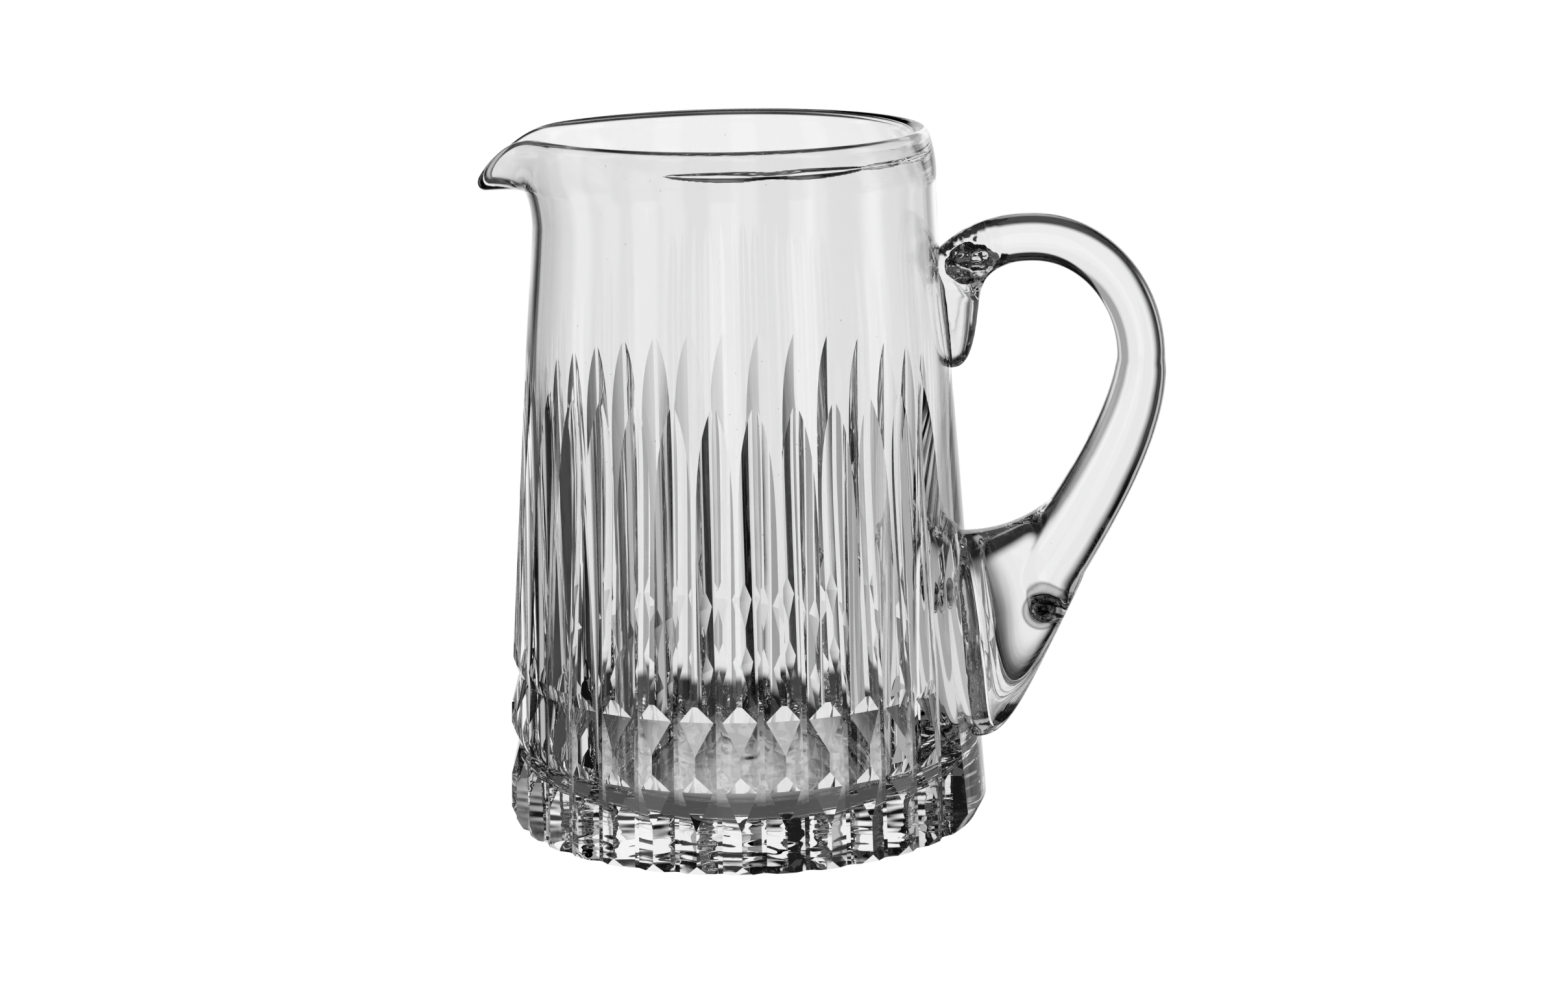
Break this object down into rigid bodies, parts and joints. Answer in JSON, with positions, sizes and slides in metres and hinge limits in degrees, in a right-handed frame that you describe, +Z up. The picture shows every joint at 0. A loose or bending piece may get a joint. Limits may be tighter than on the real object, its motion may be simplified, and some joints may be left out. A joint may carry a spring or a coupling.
{
  "type": "mixing glass",
  "caption": "Clear cut-crystal mixing jug: tapered fluted body with a faceted foot and a pulled pouring lip, and a loop handle of hot-applied glass.",
  "frame": {"origin": "middle of the flat base that the glass stands on, on the body's axis", "axes": "+Z up along the body's axis, +X from the axis to the handle, -X to the pouring lip"},
  "size_m": [0.1763, 0.1242, 0.18],
  "materials": {
    "body_crystal": "polished, wheel-cut",
    "handle_crystal": "fire-polished"
  },
  "bodies": {
    "root": {"glass_body": "body_crystal", "loop_handle": "handle_crystal"}
  },
  "joints": []
}
